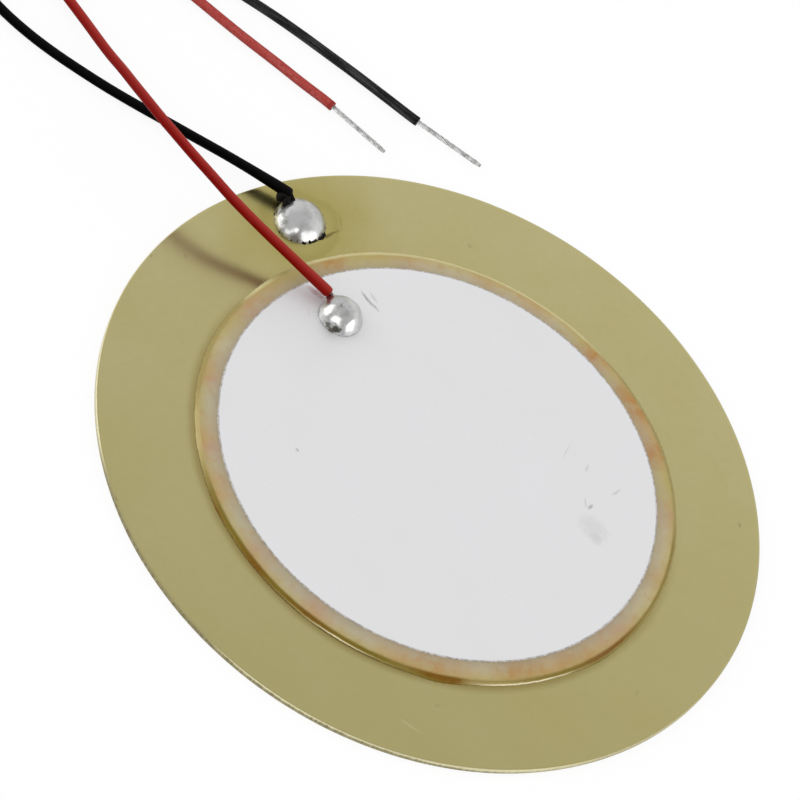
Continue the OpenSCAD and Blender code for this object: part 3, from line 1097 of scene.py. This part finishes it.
def tie_band(material):
    """The strip of the tie, bent round the turns of both leads."""
    width = 2 * LEAD_D + 2 * TIE_T
    tall = node_mm("lead_coil")[1].z + 2 * TIE_T
    bm = bmesh.new()
    made = bmesh.ops.create_grid(bm, x_segments=1, y_segments=1, size=0.5)
    bmesh.ops.scale(bm, vec=(width, tall, 1), verts=bm.verts)
    round_corners(bm, made["verts"], REST + TIE_T, 8)
    bmesh.ops.delete(bm, geom=bm.faces[:], context="FACES_ONLY")
    pulled = bmesh.ops.extrude_edge_only(bm, edges=bm.edges[:])
    new = [part for part in pulled["geom"] if isinstance(part, bmesh.types.BMVert)]
    bmesh.ops.translate(bm, vec=(0, 0, BAND_W), verts=new)
    bmesh.ops.recalc_face_normals(bm, faces=bm.faces)
    bmesh.ops.solidify(bm, geom=bm.faces[:], thickness=TIE_T)

    # Its section stands across the turns, round their middle
    turn = Matrix.Rotation(math.pi / 2, 3, "Z") @ Matrix.Rotation(math.pi / 2, 3, "X")
    bmesh.ops.rotate(bm, cent=(0, 0, 0), matrix=turn, verts=bm.verts)
    span = [min(v.co.x for v in bm.verts), max(v.co.x for v in bm.verts)]
    mid_turn = (INNER_TURN + OUTER_TURN) / 2
    shift(bm, (COIL_AT.x - sum(span) / 2, COIL_AT.y + mid_turn, tall / 2))
    return finish_mesh("tie_band", bm, material, ["coil_tie"])


def tie_twist(material):
    """The twisted ends of the tie, which reach as far as its solid does."""
    far_end = node_mm("coil_tie")[1].y
    x, z = TWIST_W / 2, TWIST_T / 2
    bm = bmesh.new()
    verts = [bm.verts.new(corner) for corner in ((-x, 0, -z), (x, 0, -z), (x, 0, z), (-x, 0, z))]
    bm.faces.new(verts)
    round_corners(bm, verts, TWIST_EDGE, 3)
    bmesh.ops.spin(
        bm, geom=bm.verts[:] + bm.edges[:] + bm.faces[:], cent=(0, 0, 0), axis=(0, 1, 0),
        dvec=(0, TWIST_L / TWIST_STEPS, 0), angle=TWIST_TURN, steps=TWIST_STEPS, use_merge=False,
    )
    shift(bm, (COIL_AT.x, far_end - TWIST_L, REST + TIE_T + TWIST_UP))
    return finish_mesh("tie_twist", bm, material, ["coil_tie"])


# ---- The object ----

PLATE_BLOB = Blob(
    PLATE_JOINT, offset=(0.05, 0.16), tall=0.75, fullness=1.2, longer=0.09, uneven=0.012,
    neck=BLACK_OUT[0], rise=0.45, seed=3.1, lumps=[
        ((-0.9, 0.3, 0.3), 0.4, 0.07), ((-0.95, -0.3, 0.02), 0.35, 0.12), ((-0.55, -0.6, 0.55), 0.3, 0.09),
    ],
)
ELECTRODE_BLOB = Blob(
    ELECTRODE_JOINT, offset=(0, 0.07), tall=1.0, fullness=0.96, longer=0, uneven=0.035,
    neck=RED_OUT[0], rise=0.7, seed=8.4, lumps=[
        ((-0.19, 0.12, 0.97), 0.08, -0.06), ((-0.8, -0.47, 0.28), 0.14, -0.05),
        ((0.3, 0.6, 0.6), 0.6, 0.05),
    ],
)

# Dark spots on each joint: middle, reach and depth. They are burnt flux, but the first five on the plate's
# joint run down from the black lead's neck as its painted reflection
PLATE_BURNS_AND_REFLECTION = [
    ((0.55, 15.98, 0.6), 0.3, 0.95), ((0.28, 15.72, 0.73), 0.26, 0.9), ((0.06, 15.45, 0.77), 0.22, 0.6),
    ((-0.06, 15.2, 0.77), 0.2, 0.45), ((-0.22, 14.88, 0.72), 0.2, 0.35),
    ((1.5, 15.85, 0.85), 0.4, 0.3), ((1.93, 15.34, 0.7), 0.35, 0.3),
    ((1.6, 13.52, 0.38), 0.45, 0.9), ((2.0, 13.9, 0.4), 0.4, 0.6), ((-0.1, 13.9, 0.4), 0.4, 0.6),
]
ELECTRODE_BURNS = [
    ((-1.38, 8.1, 0.86), 0.34, 0.97), ((-1.55, 8.2, 0.66), 0.3, 0.9), ((-1.62, 8.52, 0.8), 0.24, 0.8),
    ((-1.12, 7.79, 0.75), 0.18, 0.35), ((-1.45, 9.4, 0.6), 0.25, 0.4),
    ((0.4, 8.0, 0.65), 0.3, 0.4), ((-0.75, 8.9, 1.56), 0.1, 0.6),
]

silver = silver_finish()
tinned = tinned_finish("tinned_strands", 0)
fluxed = tinned_finish("fluxed_strands", 0.6)
flux = flux_finish("burnt_flux_and_shadow", rgb("050402"), rgb("14100a"))
red_shade = flux_finish("red_lead_reflection", rgb("3a0d0a"), rgb("5e2018"))
tie_plastic = tie_finish()

brass_disc(brass_finish())
adhesive_bead(resin_finish())
paint(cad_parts["lower_electrode"], silver)
ceramic_wafer(ceramic_finish())
silver_face(silver)

plate_metal = solder_finish("solder_on_brass", PLATE_JOINT, PLATE_BURNS_AND_REFLECTION)
solder_bead("plate_solder_bead", PLATE_BLOB, plate_metal, ["plate_solder"])
electrode_metal = solder_finish("solder_on_silver", ELECTRODE_JOINT, ELECTRODE_BURNS)
solder_bead("electrode_solder_bead", ELECTRODE_BLOB, electrode_metal, ["electrode_solder"])
flux_ring(PLATE_BLOB, flux)
# Painted shadow: the black lumps are burnt flux that also stands in for the black lead's contact shadow;
# the red one paints the red lead's reflection and shadow at its end
flux_and_shade_lump("flux_and_shadow_foot", (0.84, 16.4, 0.84), (0.5, 16.36, 0.68), 0.62, flux)
flux_and_shade_lump("flux_and_shadow_neck", (0.8, 16.14, 0.82), (0.4, 15.84, 0.74), 0.38, flux)
flux_and_shade_lump("red_reflection_lump", (-0.62, 9.98, 0.95), (-0.8, 9.72, 0.8), 0.3, red_shade)

# The black lead's strands dip to the middle of its low joint
into_joint = Vector((*PLATE_JOINT.middle, 0.5)) - Vector(BLACK_OUT[0])
strands("black_strands", BLACK_OUT[0], into_joint, IN_JOINT, STRAND_D, flux, "black_core")
strands("red_strands", RED_OUT[0], direction(RED_OUT, 1, 0), IN_JOINT, STRAND_D, fluxed, "red_core")
black_way = direction(BLACK_BACK, -2, -1)
black_tip = strands(
    "black_tinned_end", BLACK_BACK[-1], black_way, BLACK_BARE, TIP_STRAND_D, tinned, "black_tip",
)
red_way = direction(RED_BACK, -2, -1)
red_tip = strands("red_tinned_end", RED_BACK[-1], red_way, RED_BARE, TIP_STRAND_D, tinned, "red_tip")
tie = [tie_band(tie_plastic), tie_twist(tie_plastic)]

red_plastic = insulation_finish(
    "red_insulation", joint_end=rgb("760400"), lit_side=rgb("c84e46"), mid_way=rgb("8c140f"),
    free_end=rgb("ab4540"), sheen_streak=rgb("bd6a64"), gloss=0.05,
)
black_plastic = insulation_finish(
    "black_insulation", joint_end=rgb("010101"), lit_side=rgb("212121"), mid_way=rgb("010101"),
    free_end=rgb("212121"), sheen_streak=rgb("626262"), gloss=0.02,
)
paint(red_cord, red_plastic)
paint(black_cord, black_plastic)
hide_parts("red_lead", "red_lead_end", "lead_coil")
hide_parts("black_lead", "black_lead_end", "lead_coil")


# ---- Floor, lamps and world ----

# Half the floor's side in metres, and how far it lies under the plate in millimetres
FLOOR_HALF = 6
FLOOR_DROP = 0.01


def make_floor():
    """A floor that the camera and metal see white, with a faint shadow. It lights things as a grey."""
    bm = bmesh.new()
    bmesh.ops.create_grid(bm, x_segments=1, y_segments=1, size=FLOOR_HALF)
    floor = mesh_object("floor", bm)
    floor.location.z = -FLOOR_DROP * MM
    material, _, shader = new_material("white_floor")
    tree = material.node_tree
    path = tree.nodes.new("ShaderNodeLightPath")
    rays = [Wire(tree, path.outputs[f"Is {kind} Ray"]) for kind in ("Camera", "Glossy", "Transmission")]
    seen = rays[0].most(rays[1]).most(rays[2])
    colour = mix(seen, grey(0.5), grey(1))
    dress(shader, Base_Color=colour, Roughness=0.9)
    glow = seen.node("Emission", {}, {"Color": grey(1), "Strength": 1.0})
    both = seen.node("MixShader", {}, {0: seen * 0.88, 1: Wire(tree, shader.outputs[0]), 2: glow})
    tree.links.new(both.socket, tree.nodes["Material Output"].inputs["Surface"])
    floor.data.materials.append(material)


def make_world(far_side, near_side, overhead):
    """A sky with a level for each side of the disc and one overhead."""
    world = bpy.data.worlds.new("studio")
    bpy.context.scene.world = world
    world.use_nodes = True
    tree = world.node_tree
    coords = tree.nodes.new("ShaderNodeTexCoord")
    x, y, up = Wire(tree, coords.outputs["Generated"]).axes()
    facing = x * NEAR_WAY.x + y * NEAR_WAY.y
    low = mix(facing.rise(-0.3, 0.5), grey(far_side), grey(near_side))
    colour = mix(up.rise(0.5, 0.9), low, grey(overhead))
    tree.links.new(colour.socket, tree.nodes["Background"].inputs["Color"])


def softbox(name, azimuth, elevation, width, tall, radiance, distance=900):
    """A soft lamp of an even radiance, seen from the disc at an azimuth and elevation."""
    data = bpy.data.lights.new(name, "AREA")
    data.shape = "RECTANGLE"
    data.size = width * MM
    data.size_y = tall * MM
    data.energy = radiance * math.pi * data.size * data.size_y
    lamp = new_object(name, data)
    a, e = math.radians(azimuth), math.radians(elevation)
    away = Vector((math.cos(a) * math.cos(e), math.sin(a) * math.cos(e), math.sin(e)))
    lamp.location = away * distance * MM
    lamp.rotation_euler = away.to_track_quat("Z", "Y").to_euler()


make_floor()
make_world(far_side=0.9, near_side=0.55, overhead=0.63)
softbox("left_softbox", azimuth=126, elevation=18, width=650, tall=800, radiance=1.9)
softbox("camera_softbox", azimuth=-158, elevation=36, width=640, tall=640, radiance=1.6)
softbox("right_softbox", azimuth=-66, elevation=16, width=900, tall=450, radiance=1.9)
bpy.context.scene.view_settings.view_transform = "Standard"
